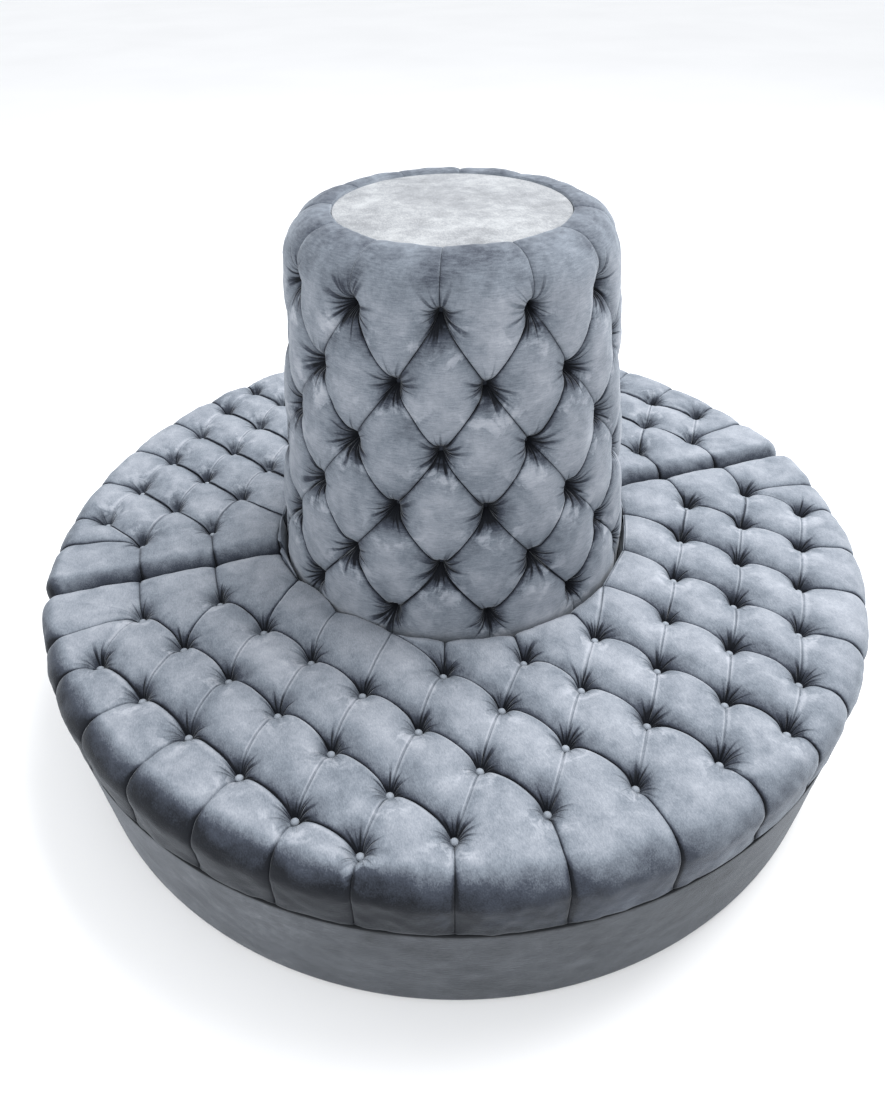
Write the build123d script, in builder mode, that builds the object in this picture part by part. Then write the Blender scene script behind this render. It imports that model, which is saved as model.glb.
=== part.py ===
from build123d import *
from math import atan2, copysign, cos, hypot, pi, radians, sin, sqrt
import os

os.makedirs("parts", exist_ok=True)

# Round tufted lobby sofa, in millimetres. The origin is on the floor under the middle of the
# column, X runs along the split between the two seats, and the front seat is at -Y.

# Seats
seat_radius = 1000.0
seat_height = 440.0
plinth_height = 295.0
plinth_setback = 27.0
split_gap = 2.0
seat_to_column_gap = 4.0
seat_edge_radius = 60.0
seat_corner_radius = 48.0
seat_foot_corner_radius = 12.0

# Seat tufting: buttons stand in rows parallel to the split, each row shifted by half a pitch
seat_half_pitch = 86.3
seat_row_pitch = 118.5
seat_first_row = 134.4
seat_row_ends = (9, 10, 9, 8, 7, 6, 5)
seat_row_starts = (5, 4, 3, 0, 1, 0, 1)
seat_pleat_depth = 20.0
seat_button_depth = 43.0
tuft_edge_margin = 27.0
button_edge_margin = 75.0
button_foot_distance = 40.0

# Boards, ribs and covers of the seats
board_thickness = 18.0
skin_thickness = 6.0
cover_thickness = 2.0
fit_clearance = 0.3
rib_count = 5
rib_thickness = 18.0
rib_inset = 20.0
glide_height = 6.0
glide_radius = 20.0
glide_inset = 60.0
glides_per_half = 4
glide_sides = 8

# Column
column_foot_radius = 427.0
column_head_radius = 336.0
column_height = 1190.0
rim_roll_radius = 86.0
rim_lip_turn = 100.3
column_button_count = 12
column_row_count = 6
column_foot_row_rise = 22.0
column_phase = -111.0
column_top_row_drop = 5.0
column_pleat_depth = 16.0
column_foot_button_depth = 41.0
column_head_button_depth = 28.0
column_foam_foot = 65.0
column_skin_thickness = 5.0
column_skin_clearance = 1.2
column_board_setback = 2.0
column_base_setback = 22.0
column_post_count = 6
column_post_width = 45.0
column_post_setback = 20.0
column_glide_count = 4

# Top panel
panel_side_clearance = 1.5
panel_rise = 38.0
panel_board_thickness = 18.0
panel_cover_thickness = 7.0
rim_lip_sink = 6.0

# Covered buttons, with a cone below that sits in the tuft
button_radius = 8.5
button_cone_height = 13.0
button_dome_height = 3.0
button_sides = 6

# Fastenings between the halves, and between the seats and the column
bolt_radius = 5.0
bolt_head_radius = 8.5
bolt_head_height = 6.4
bolt_clearance = 0.5
bolt_length = 58.0
bolt_sides = 8
nut_height = 8.0
tie_plate_length = 110.0
tie_plate_width = 30.0
tie_plate_thickness = 4.0
tie_plate_count = 4
tie_plate_start_angle = 45.0

# Tuft facets: each diamond is divided into this many steps each way
cell_steps = 4
edge_steps = 3
rim_steps = 5
foot_steps = 2
bottom_crease_share = 0.5
edge_reach_share = 0.7

# Worked out from the sizes above
seat_inner_radius = column_foot_radius + seat_to_column_gap
board_radius = seat_radius - plinth_setback - cover_thickness - skin_thickness - 2 * fit_clearance
button_free_radius = seat_inner_radius + button_foot_distance
seat_board_bottom = plinth_height - board_thickness
base_board_top = glide_height + board_thickness
rim_centre_radius = column_head_radius - rim_roll_radius
rim_centre_height = column_height - rim_roll_radius
rim_lip_radius = rim_centre_radius + rim_roll_radius * cos(radians(rim_lip_turn))
column_taper = (column_foot_radius - column_head_radius) / (rim_centre_height - seat_height)
skin_foot_radius = column_foot_radius - column_foam_foot
top_board_top = column_height - panel_rise
skin_head_radius = skin_foot_radius - column_taper * (top_board_top - plinth_height)


def save(part, name):
    """Label one finished piece and write it under its own name."""
    part.label = name
    export_step(part, f"parts/{name}.step")


# Tufted forms

def crown(share):
    """Height share across a pillow: 0 at its two pleats, 1 in the middle."""
    return 1 - (2 * share - 1) ** 2


def mouth(share):
    """How far a button pulls along one side: 1 at the button, 0 half way to the next."""
    return (1 - 2 * min(share, 1 - share)) ** 3


def tuft_depth(across, along, pleat_depth, button_depth):
    """Depth of the cover below its crown at a place in one diamond between four buttons."""
    pillow = pleat_depth * (1 - crown(across) * crown(along)) ** 2
    return pillow + (button_depth - pleat_depth) * mouth(across) * mouth(along)


def between(start, end, share):
    """The value or point at a share of the way from start to end."""
    return start + (end - start) * share


def steps_of(count):
    """Shares from 0 to 1 in equal steps."""
    return [k / count for k in range(count + 1)]


def grid_faces(rows):
    """Triangles between rows of points, leaving out those that have shrunk to a line."""
    faces = []
    for lower, upper in zip(rows, rows[1:]):
        for k in range(len(lower) - 1):
            for corners in ((lower[k], lower[k + 1], upper[k + 1]), (lower[k], upper[k + 1], upper[k])):
                sides = (corners[1] - corners[0]).cross(corners[2] - corners[0])
                if sides.length > fit_clearance**2:
                    faces.append(Face(Wire.make_polygon(corners, close=True)))
    return faces


# Seat cushion

seat_tufts = [
    (column, row)
    for row, (start, end) in enumerate(zip(seat_row_starts, seat_row_ends))
    for column in range(-end, end + 1, 2)
    if abs(column) >= start
]
seat_pleat_length = hypot(seat_half_pitch, seat_row_pitch)


def seat_button_place(button):
    """Plan position of a button, kept clear of the outer edge and of the column."""
    column, row = button
    place = Vector(column * seat_half_pitch, -seat_first_row - row * seat_row_pitch)
    nearest = seat_inner_radius + (button_edge_margin if has_button(button) else tuft_edge_margin)
    farthest = seat_radius - button_edge_margin
    return place * (min(max(place.length, nearest), farthest) / place.length)


def seat_tuft_depth(button):
    """Depth of a tuft: those squeezed against the column are pleats without a button."""
    return seat_button_depth if has_button(button) else seat_pleat_depth


def has_button(button):
    """True for a tuft that stands far enough from the column for a button."""
    column, row = button
    return hypot(column * seat_half_pitch, seat_first_row + row * seat_row_pitch) > button_free_radius


def seat_walk():
    """Border buttons in order round the seat, each with the edge that its own pleat runs to."""
    last = len(seat_row_ends) - 1
    split = [((column, 0), "split") for column in range(seat_row_starts[0], seat_row_ends[0] + 1, 2)]
    side = [((end, row), "outer") for row, end in enumerate(seat_row_ends)]
    front_end = seat_row_ends[last] - 2
    front = [((column, last), "outer") for column in range(front_end, -front_end - 1, -2)]
    near_rows = [row for row, start in enumerate(seat_row_starts) if start > 1]
    foot = [((seat_row_starts[row], row), "inner") for row in near_rows]
    foot_end = seat_row_starts[near_rows[-1]] - 1
    under = [((column, len(near_rows)), "inner") for column in range(-foot_end, foot_end + 1, 2)]

    def mirrored(stretch):
        return [((-column, row), kind) for (column, row), kind in reversed(stretch)]

    walk = split + side + front + mirrored(side) + mirrored(split)
    return walk + [((-column, row), kind) for (column, row), kind in foot] + under + foot[::-1]


def edge_place(button, kind):
    """Where a border pleat meets the outline: x along the split, or an angle round the middle."""
    place = seat_button_place(button)
    if kind == "split":
        return copysign(max(abs(place.X), seat_inner_radius + tuft_edge_margin), place.X)
    return atan2(place.Y, place.X)


def edge_point(kind, place):
    """A point on the seat's outline with its outward direction."""
    if kind == "split":
        return Vector(place, -split_gap / 2), Vector(0, 1)
    direction = Vector(cos(place), sin(place))
    if kind == "outer":
        return direction * seat_radius, direction
    return direction * seat_inner_radius, -direction


def corner_points(button, kind):
    """Outline round one corner, from the split to the outer or inner arc."""
    if kind == "outer":
        outward, corner_radius, radius = 1, seat_corner_radius, seat_radius - seat_corner_radius
    else:
        outward, corner_radius = -1, seat_foot_corner_radius
        radius = seat_inner_radius + seat_foot_corner_radius
    centre_y = -split_gap / 2 - corner_radius
    centre_x = sqrt(radius**2 - centre_y**2)
    side = 1 if button[0] > 0 else -1
    centre = Vector(side * centre_x, centre_y)
    end_direction = centre.normalized() * outward
    turn = atan2(end_direction.X * -side, end_direction.Y)
    points = [edge_point("split", edge_place(button, "split"))]
    for share in steps_of(cell_steps - 2):
        direction = Vector(-side * sin(turn * share), cos(turn * share))
        points.append((centre + direction * corner_radius, direction))
    return points + [edge_point(kind, edge_place(button, kind))]


def inner_pleats(first, last):
    """Plan points and depths along the pleats that close a border strip on its inner side."""
    if first == last:
        return [(seat_button_place(first), seat_tuft_depth(first))] * (cell_steps + 1)
    stops = [first, last]
    if abs(first[0] - last[0]) == 2:
        middle = (first[0] + last[0]) // 2
        shared = [button for button in seat_tufts if button[0] == middle]
        stops.insert(1, min(shared, key=lambda button: abs(button[1] - first[1])))
    points = [(seat_button_place(first), seat_tuft_depth(first))]
    for start, end in zip(stops, stops[1:]):
        for share in steps_of(cell_steps)[1:]:
            place = between(seat_button_place(start), seat_button_place(end), share)
            pull = seat_tuft_depth(start if share < 0.5 else end)
            points.append((place, tuft_depth(share, 0, seat_pleat_depth, pull)))
    return points


def border_strip(start, end):
    """Rows of points between two border pleats, from the inner pleats over the edge to the board."""
    (first, first_kind), (last, last_kind) = start, end
    inner = inner_pleats(first, last)
    shares = steps_of(len(inner) - 1)
    if first_kind == last_kind:
        places = edge_place(first, first_kind), edge_place(last, last_kind)
        outline = [edge_point(first_kind, between(*places, share)) for share in shares]
    elif first_kind == "split":
        outline = corner_points(first, last_kind)
    else:
        outline = corner_points(first, first_kind)[::-1]
    columns = []
    up = Vector(0, 0, 1)
    for share, (place, depth), (edge, outward) in zip(shares, inner, outline):
        radius = min(seat_edge_radius, (edge - place).length * edge_reach_share)
        rim = edge - outward * radius
        run_share = (rim - place).length / seat_pleat_length
        near_crease = tuft_depth(share, min(0.5, run_share / 2), seat_pleat_depth, depth)
        crease = tuft_depth(share, 0.5, seat_pleat_depth, depth)
        column = [place + up * (seat_height - depth)]
        column.append(between(place, rim, 0.5) + up * (seat_height - near_crease))
        for turn in steps_of(edge_steps):
            normal = outward * sin(turn * pi / 2) + up * cos(turn * pi / 2)
            centre = rim + up * (seat_height - seat_edge_radius)
            arc = outward * (radius * normal.dot(outward)) + up * (seat_edge_radius * normal.Z)
            column.append(centre + arc - normal * crease)
        column.append(edge - outward * (crease * bottom_crease_share) + up * plinth_height)
        columns.append(column)
    return [list(row) for row in zip(*columns)]


def seat_diamonds():
    """Rows of points of every diamond that has its four buttons."""
    for column, row in seat_tufts:
        corners = [(column, row), (column + 1, row + 1), (column - 1, row + 1), (column, row + 2)]
        if all(corner in seat_tufts for corner in corners):
            near, right, left, far = [seat_button_place(corner) for corner in corners]
            rows = []
            for along in steps_of(cell_steps):
                points = []
                for across in steps_of(cell_steps):
                    place = between(between(near, right, across), between(left, far, across), along)
                    nearest = corners[round(across) + 2 * round(along)]
                    pull = seat_tuft_depth(nearest)
                    depth = tuft_depth(across, along, seat_pleat_depth, pull)
                    points.append(place + Vector(0, 0, seat_height - depth))
                rows.append(points)
            yield rows


def seat_cushion_faces():
    """The whole cover of one seat cushion, closed by its flat underside."""
    walk = seat_walk()
    strips = [border_strip(start, end) for start, end in zip(walk, walk[1:] + walk[:1])]
    faces = [face for rows in [*seat_diamonds(), *strips] for face in grid_faces(rows)]
    underside = [point for rows in strips for point in rows[-1][:-1]]
    return faces + [Face(Wire.make_polygon(underside, close=True))]


with BuildPart() as seat_cushion:
    add(Solid(Shell(seat_cushion_faces())))


# Covered buttons

with BuildPart() as covered_button:
    with BuildSketch(Plane.XY.offset(button_cone_height)) as button_outline:
        RegularPolygon(button_radius, button_sides)
    button_top = Vertex(0, 0, button_cone_height + button_dome_height)
    loft([Vertex(0, 0, 0), button_outline.sketch.face(), button_top], ruled=True)

with BuildPart() as seat_button_group:
    seat_button_bottom = seat_height - seat_button_depth + fit_clearance
    places = [seat_button_place(button) for button in seat_tufts if has_button(button)]
    with Locations(*[Vector(place.X, place.Y, seat_button_bottom) for place in places]):
        add(covered_button.part)


# Column cushion

column_slant = hypot(column_foot_radius - column_head_radius, rim_centre_height - seat_height)
column_cover_length = column_slant + rim_roll_radius * radians(rim_lip_turn)
column_first_row = column_foot_row_rise
column_row_pitch = (column_slant - column_top_row_drop - column_first_row) / (column_row_count - 1)
column_pitch = 2 * pi / column_button_count
column_sides = cell_steps * column_button_count
half_steps = 2 * cell_steps


def column_point(angle, climb, depth):
    """A point below the column's crown: climb runs up the slant and over the rim to its lip."""
    if climb < 0:
        radius, height, turn = column_foot_radius, seat_height + climb, 0
    elif climb < column_slant:
        share = climb / column_slant
        radius = between(column_foot_radius, column_head_radius, share)
        height = between(seat_height, rim_centre_height, share)
        turn = atan2(column_foot_radius - column_head_radius, rim_centre_height - seat_height)
    else:
        turn = (climb - column_slant) / rim_roll_radius
        radius = rim_centre_radius + rim_roll_radius * cos(turn)
        height = rim_centre_height + rim_roll_radius * sin(turn)
    radius -= depth * cos(turn)
    return Vector(radius * cos(angle), radius * sin(angle), height - depth * sin(turn))


def column_button_angle(place, row):
    """Rows count up from the foot, and each is shifted by half a pitch from the next."""
    shift = 0.5 * ((column_row_count - 1 - row) % 2)
    return radians(column_phase) + (place + shift) * column_pitch


def column_button_climb(row):
    """How far up the slant a row of buttons is."""
    return column_first_row + row * column_row_pitch


def column_button_depth(row):
    """Buttons are drawn in deeper towards the foot, where the padding is thicker."""
    return between(column_foot_button_depth, column_head_button_depth, row / (column_row_count - 1))


def column_diamonds():
    """Rows of points of each diamond between four buttons of three neighbouring rows."""
    for row in range(column_row_count - 2):
        low, high = column_button_climb(row), column_button_climb(row + 2)
        for place in range(column_button_count):
            middle = column_button_angle(place, row)
            rows = []
            for along in steps_of(cell_steps):
                points = []
                for across in steps_of(cell_steps):
                    angle = middle + (across - along) * column_pitch / 2
                    climb = between(low, high, (across + along) / 2)
                    button_depth = column_button_depth(row + across + along)
                    depth = tuft_depth(across, along, column_pleat_depth, button_depth)
                    points.append(column_point(angle, climb, depth))
                rows.append(points)
            yield rows


def column_border(row, inner_row, end_climb, steps):
    """Strips from the pleats of an end row to the lip or the foot, one between two buttons."""
    for place in range(column_button_count):
        start = column_button_angle(place, row)
        columns = []
        for share in steps_of(half_steps):
            angle = start + share * column_pitch
            across = 2 * share % 1
            reach = 1 - abs(2 * share - 1)
            climb = between(column_button_climb(row), column_button_climb(inner_row), reach)
            button_depth = column_button_depth(between(row, inner_row, reach))
            depth = tuft_depth(across, 0, column_pleat_depth, button_depth)
            points = [column_point(angle, climb, depth)]
            crease = tuft_depth(share, 0.5, column_pleat_depth, button_depth)
            for step in steps_of(steps)[1:]:
                points.append(column_point(angle, between(climb, end_climb, step), crease))
            columns.append(points)
        yield [list(row_points) for row_points in zip(*columns)]


def ring_points(strips):
    """The free edge of a row of strips as one closed ring of points."""
    return [point for rows in strips for point in rows[-1][:-1]]


def round_ring(radius, height):
    """A level ring of evenly spaced points inside the cushion."""
    start = radians(column_phase)
    angles = [start + 2 * pi * share for share in steps_of(column_sides)[:-1]]
    return [Vector(radius * cos(angle), radius * sin(angle), height) for angle in angles]


def level(ring, height):
    """A ring of points moved straight up or down to one height."""
    return [Vector(point.X, point.Y, height) for point in ring]


def band_faces(lower, upper):
    """Triangles between two closed rings."""
    return grid_faces([lower + lower[:1], upper + upper[:1]])


def ring_face(outer, inner):
    """A flat face between two closed rings."""
    hole = Wire.make_polygon(inner, close=True)
    return Face(Wire.make_polygon(outer, close=True), [hole])


def column_cushion_faces():
    """Cover, lip, seat on the top board, inner cone and foot of the column cushion."""
    top_row = column_row_count - 1
    top_strips = list(column_border(top_row, top_row - 1, column_cover_length, rim_steps))
    foot_strips = list(column_border(0, 1, plinth_height - seat_height, foot_steps))
    lip = ring_points(top_strips)
    foot = ring_points(foot_strips)
    inner_head = round_ring(skin_head_radius + column_skin_clearance, top_board_top)
    inner_foot = round_ring(skin_foot_radius + column_skin_clearance, plinth_height)
    faces = [face for rows in [*column_diamonds(), *top_strips, *foot_strips] for face in grid_faces(rows)]
    faces += band_faces(lip, level(lip, top_board_top))
    faces += band_faces(inner_head, inner_foot)
    return faces + [ring_face(inner_head, level(lip, top_board_top)), ring_face(foot, inner_foot)]


with BuildPart() as column_cushion:
    add(Solid(Shell(column_cushion_faces())))


with BuildPart() as column_button_group:
    for row in range(column_row_count):
        for place in range(column_button_count):
            angle = column_button_angle(place, row)
            depth = column_button_depth(row) - fit_clearance
            seat_point = column_point(angle, column_button_climb(row), depth)
            outward = column_point(angle, column_button_climb(row), 0) - seat_point
            with Locations(Plane(seat_point, z_dir=outward).location):
                add(covered_button.part)


# Seat frame: the front half, turned round afterwards for the rear half

def half_ring(radius, inner_radius):
    """Sketch of a half ring in front of the split."""
    Circle(radius)
    Circle(inner_radius, mode=Mode.SUBTRACT)
    with Locations((0, -split_gap / 2)):
        Rectangle(2 * seat_radius, seat_radius, align=(Align.CENTER, Align.MIN), mode=Mode.SUBTRACT)


with BuildPart() as base_board:
    with BuildSketch(Plane.XY.offset(glide_height)):
        half_ring(board_radius, seat_inner_radius)
    extrude(amount=board_thickness)

with BuildPart() as seat_board:
    with BuildSketch(Plane.XY.offset(seat_board_bottom)):
        half_ring(board_radius, seat_inner_radius)
    extrude(amount=board_thickness)

rib_height = seat_board_bottom - base_board_top
rib_length = board_radius - seat_inner_radius - 2 * rib_inset
board_middle_radius = (board_radius + seat_inner_radius) / 2
rib_angle = 180 / (rib_count + 1)
rib_spread = 180 - 2 * rib_angle
with BuildPart() as ribs:
    with BuildSketch(Plane.XY.offset(base_board_top)):
        with PolarLocations(board_middle_radius, rib_count, 180 + rib_angle, rib_spread, endpoint=True):
            Rectangle(rib_length, rib_thickness)
    extrude(amount=rib_height)

bolt_height = (base_board_top + seat_board_bottom) / 2
with BuildPart() as end_boards:
    with BuildSketch(Plane.XY.offset(base_board_top)):
        with Locations((board_middle_radius, -split_gap / 2), (-board_middle_radius, -split_gap / 2)):
            Rectangle(rib_length, board_thickness, align=(Align.CENTER, Align.MAX))
    extrude(amount=rib_height)
    with BuildSketch(Plane.XZ):
        with Locations((board_middle_radius, bolt_height), (-board_middle_radius, bolt_height)):
            RegularPolygon(bolt_radius + bolt_clearance, bolt_sides)
    extrude(amount=board_thickness + split_gap, mode=Mode.SUBTRACT)

with BuildPart() as outer_skin:
    with BuildSketch(Plane.XY.offset(glide_height)):
        half_ring(board_radius + fit_clearance + skin_thickness, board_radius + fit_clearance)
    extrude(amount=plinth_height - glide_height)

cover_inner_radius = board_radius + skin_thickness + 2 * fit_clearance
with BuildPart() as plinth_cover:
    with BuildSketch(Plane.XY.offset(glide_height)):
        half_ring(cover_inner_radius + cover_thickness, cover_inner_radius)
    extrude(amount=plinth_height - glide_height)

glide_angle = 180 / (glides_per_half + 1)
glide_start = 180 + glide_angle / 2
glide_circle = board_radius - glide_inset
inner_glide_circle = seat_inner_radius + glide_inset
with BuildPart() as seat_glides:
    with BuildSketch():
        with PolarLocations(glide_circle, glides_per_half, glide_start, 180 - glide_angle, endpoint=True):
            RegularPolygon(glide_radius, glide_sides)
        with PolarLocations(inner_glide_circle, 2, 225, 90, endpoint=True):
            RegularPolygon(glide_radius, glide_sides)
    extrude(amount=glide_height)


# Bolts through the end boards, one on each side of the column

bolt_face = -split_gap / 2 - board_thickness
with BuildPart() as link_bolts:
    with BuildSketch(Plane.XZ.offset(-bolt_face)):
        with Locations((board_middle_radius, bolt_height), (-board_middle_radius, bolt_height)):
            RegularPolygon(bolt_head_radius, 6)
    extrude(amount=bolt_head_height)
    with BuildSketch(Plane.XZ.offset(-bolt_face)):
        with Locations((board_middle_radius, bolt_height), (-board_middle_radius, bolt_height)):
            RegularPolygon(bolt_radius, bolt_sides)
    extrude(amount=-bolt_length)

with BuildPart() as link_nuts:
    with BuildSketch(Plane.XZ.offset(bolt_face)):
        with Locations((board_middle_radius, bolt_height), (-board_middle_radius, bolt_height)):
            RegularPolygon(bolt_head_radius, 6)
            RegularPolygon(bolt_radius + fit_clearance, bolt_sides, mode=Mode.SUBTRACT)
    extrude(amount=-nut_height)


# Column frame

column_board_radius = column_foot_radius - column_board_setback
column_base_radius = column_foot_radius - column_base_setback
top_board_bottom = top_board_top - board_thickness
top_board_radius = skin_head_radius - column_skin_thickness - fit_clearance
lower_post_circle = column_base_radius - column_post_setback - column_post_width / 2
upper_post_circle = top_board_radius - column_post_setback - column_post_width / 2

with BuildPart() as column_base_board:
    with BuildSketch(Plane.XY.offset(glide_height)):
        RegularPolygon(column_base_radius, 2 * column_post_count)
    extrude(amount=board_thickness)

with BuildPart() as column_middle_board:
    with BuildSketch(Plane.XY.offset(seat_board_bottom)):
        Circle(column_board_radius)
    extrude(amount=board_thickness)

with BuildPart() as column_top_board:
    with BuildSketch(Plane.XY.offset(top_board_bottom)):
        RegularPolygon(top_board_radius, column_sides, rotation=column_phase)
    extrude(amount=board_thickness)

with BuildPart() as column_lower_posts:
    with BuildSketch(Plane.XY.offset(base_board_top)):
        with PolarLocations(lower_post_circle, column_post_count):
            Rectangle(column_post_width, column_post_width)
    extrude(amount=seat_board_bottom - base_board_top)

with BuildPart() as column_upper_posts:
    with BuildSketch(Plane.XY.offset(plinth_height)):
        with PolarLocations(upper_post_circle, column_post_count):
            Rectangle(column_post_width, column_post_width)
    extrude(amount=top_board_bottom - plinth_height)

def skin_faces():
    """Outer and inner wall and both ends of the bent skin under the column's padding."""
    foot, head, inner_foot, inner_head = [
        round_ring(radius - wall, height)
        for wall in (0, column_skin_thickness)
        for radius, height in ((skin_foot_radius, plinth_height), (skin_head_radius, top_board_top))
    ]
    faces = band_faces(foot, head) + band_faces(inner_foot, inner_head)
    return faces + [ring_face(foot, inner_foot), ring_face(head, inner_head)]


with BuildPart() as column_skin:
    add(Solid(Shell(skin_faces())))

with BuildPart() as column_glides:
    with BuildSketch():
        with PolarLocations(column_base_radius - glide_inset, column_glide_count):
            RegularPolygon(glide_radius, glide_sides)
    extrude(amount=glide_height)


# Plates that tie the column to the seat boards from below

with BuildPart() as tie_plates:
    with BuildSketch(Plane.XY.offset(seat_board_bottom)):
        for start in (tie_plate_start_angle, 180 + tie_plate_start_angle):
            with PolarLocations(
                (column_board_radius + seat_inner_radius) / 2,
                tie_plate_count // 2,
                start,
                180 - 2 * tie_plate_start_angle,
                endpoint=True,
            ):
                Rectangle(tie_plate_length, tie_plate_width)
    extrude(amount=-tie_plate_thickness)


# Top panel

panel_cover_radius = rim_lip_radius - panel_side_clearance
panel_board_radius = panel_cover_radius - panel_cover_thickness
with BuildPart() as top_panel_board:
    with BuildSketch(Plane.XY.offset(top_board_top)):
        RegularPolygon(panel_board_radius, column_sides, rotation=column_phase)
    extrude(amount=panel_board_thickness)

panel_cover_height = panel_rise - rim_lip_sink
with BuildPart() as top_panel_cover:
    with BuildSketch(Plane.XY.offset(top_board_top)):
        Circle(panel_cover_radius)
    extrude(amount=panel_cover_height)
    with BuildSketch(Plane.XY.offset(top_board_top)):
        RegularPolygon(panel_board_radius + fit_clearance, column_sides, rotation=column_phase)
    extrude(amount=panel_board_thickness + fit_clearance, mode=Mode.SUBTRACT)


# Write every piece

half_pieces = {
    "base_board": base_board,
    "seat_board": seat_board,
    "ribs": ribs,
    "end_boards": end_boards,
    "outer_skin": outer_skin,
    "plinth_cover": plinth_cover,
    "seat_cushion": seat_cushion,
    "seat_buttons": seat_button_group,
    "seat_glides": seat_glides,
}
for name, piece in half_pieces.items():
    save(piece.part, f"front_{name}")
    with BuildPart() as rear_piece:
        add(piece.part.rotate(Axis.Z, 180))
    save(rear_piece.part, f"rear_{name}")

save(link_bolts.part, "link_bolts")
save(link_nuts.part, "link_nuts")
save(tie_plates.part, "tie_plates")
save(column_base_board.part, "column_base_board")
save(column_middle_board.part, "column_middle_board")
save(column_top_board.part, "column_top_board")
save(column_lower_posts.part, "column_lower_posts")
save(column_upper_posts.part, "column_upper_posts")
save(column_skin.part, "column_skin")
save(column_glides.part, "column_glides")
save(column_cushion.part, "column_cushion")
save(column_button_group.part, "column_buttons")
save(top_panel_board.part, "top_panel_board")
save(top_panel_cover.part, "top_panel_cover")
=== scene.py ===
import bmesh
import bpy
import numpy as np
from math import atan2, copysign, cos, hypot, pi, radians, sin, sqrt
from mathutils import Matrix, Vector


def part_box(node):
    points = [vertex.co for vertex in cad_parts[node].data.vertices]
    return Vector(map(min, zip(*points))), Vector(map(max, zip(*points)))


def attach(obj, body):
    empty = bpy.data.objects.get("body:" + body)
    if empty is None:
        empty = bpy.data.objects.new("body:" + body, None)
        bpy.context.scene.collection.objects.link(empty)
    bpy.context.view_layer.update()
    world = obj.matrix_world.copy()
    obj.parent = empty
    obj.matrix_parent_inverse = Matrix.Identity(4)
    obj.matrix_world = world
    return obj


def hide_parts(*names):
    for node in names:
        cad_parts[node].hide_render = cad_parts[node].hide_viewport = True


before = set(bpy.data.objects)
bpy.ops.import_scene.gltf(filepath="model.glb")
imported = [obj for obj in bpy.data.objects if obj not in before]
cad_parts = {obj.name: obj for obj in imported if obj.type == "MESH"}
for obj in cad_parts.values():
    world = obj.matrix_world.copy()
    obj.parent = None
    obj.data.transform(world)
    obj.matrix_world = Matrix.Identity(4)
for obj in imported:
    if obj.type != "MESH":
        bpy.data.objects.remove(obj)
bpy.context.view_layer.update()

# Round tufted lobby sofa, in metres. X runs along the split, the front seat is at -Y.
mm = 0.001

# Seats
seat_radius = 1000 * mm
seat_height = 440 * mm
plinth_height = 295 * mm
split_gap = 2 * mm
seat_inner_radius = 431 * mm
seat_corner_radius = 48 * mm
seat_inner_corner_radius = 12 * mm
edge_roll = {"outer": 62 * mm, "split": 46 * mm, "inner": 30 * mm}
foot_roll_radius = 9 * mm
underside_reach = 12 * mm
underside_gap = 0.4 * mm
sole_weld = 0.5 * mm

# Tufting of the seats: rows count out from the split, and a row's tufts stand two half pitches
# apart, from its start to its end on both sides of the middle
half_pitch = 86.3 * mm
row_pitch = 118.5 * mm
first_row = 134.4 * mm
row_ends = (9, 10, 9, 8, 7, 6, 5)
row_starts = (5, 4, 3, 0, 1, 0, 1)
tuft_edge_margin = 9 * mm
inner_corner_margin = 15 * mm
corner_roll_share = 0.85
button_edge_margin = 75 * mm
button_foot_distance = 40 * mm
seat_pleat_depth = 17 * mm
seat_button_depth = 52 * mm
edge_pleat_depth = 16 * mm
foot_pleat_depth = 10 * mm

# Column
column_foot_radius = 427 * mm
column_head_radius = 336 * mm
column_height = 1190 * mm
rim_roll_radius = 86 * mm
rim_lip_turn = radians(100.3)
column_button_count = 12
column_row_count = 6
column_first_row = 22 * mm
column_phase = radians(-111)
column_top_row_drop = 5 * mm
column_pleat_depth = 16 * mm
column_foot_button_depth = 58 * mm
column_head_button_depth = 56 * mm
rim_pleat_depth = 10 * mm
lip_pleat_depth = 5 * mm
hem_pleat_depth = 12 * mm
column_inner_foot = 363.2 * mm
column_inner_head = 269.9 * mm
column_board_top = 1152 * mm

# Covered buttons
button_radius = 8.5 * mm
button_height = 6.5 * mm
button_lift = 11 * mm
column_button_lift = 1 * mm
button_segments, button_rings = 12, 8
button_back_share = 0.5
seat_button_lean = 0.16
column_button_lean = 0.14

# How the padding swells between its pleats
fullness = 0.34
steep_fullness = 0.26
long_fullness = 0.62
edge_fullness = 0.24
column_fullness = 0.34
rise_length = 80 * mm
seam_fill = 0.5
seam_power = 0.7
seam_ridge = 1.8 * mm
seam_ridge_place = 0.026
seam_ridge_width = 0.012
seam_ridge_cut = 0.01
pleat_bow = 8 * mm
pleat_stray = 3 * mm
pillow_sag, pillow_rise = -1.5 * mm, 2.5 * mm
lip_start = 0.05
seat_lip = 0.03
column_lip = 0.02
edge_reach_share = 0.7
corner_tightening = 3
foot_fade_share = 0.1
column_lean_blend = 60 * mm
cushion_waves = ((0.9 * mm, 70 * mm), (0.35 * mm, 24 * mm))

# How a button draws the velvet in, and the folds that gather round it
pull_reach = 90 * mm
hole_reach = 15 * mm
dish_reach = 36 * mm
dish_power = 1.5
dish_share = 0.40
gather_count = 11
gather_stray = 0.4
gather_depth = 7 * mm
gather_strengths = (0.15, 1.0)
gather_fades = (14 * mm, 30 * mm)
gather_start = 7 * mm
gather_onset = 12 * mm
gather_width = 1.4 * mm
gather_widening = 0.11

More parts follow.
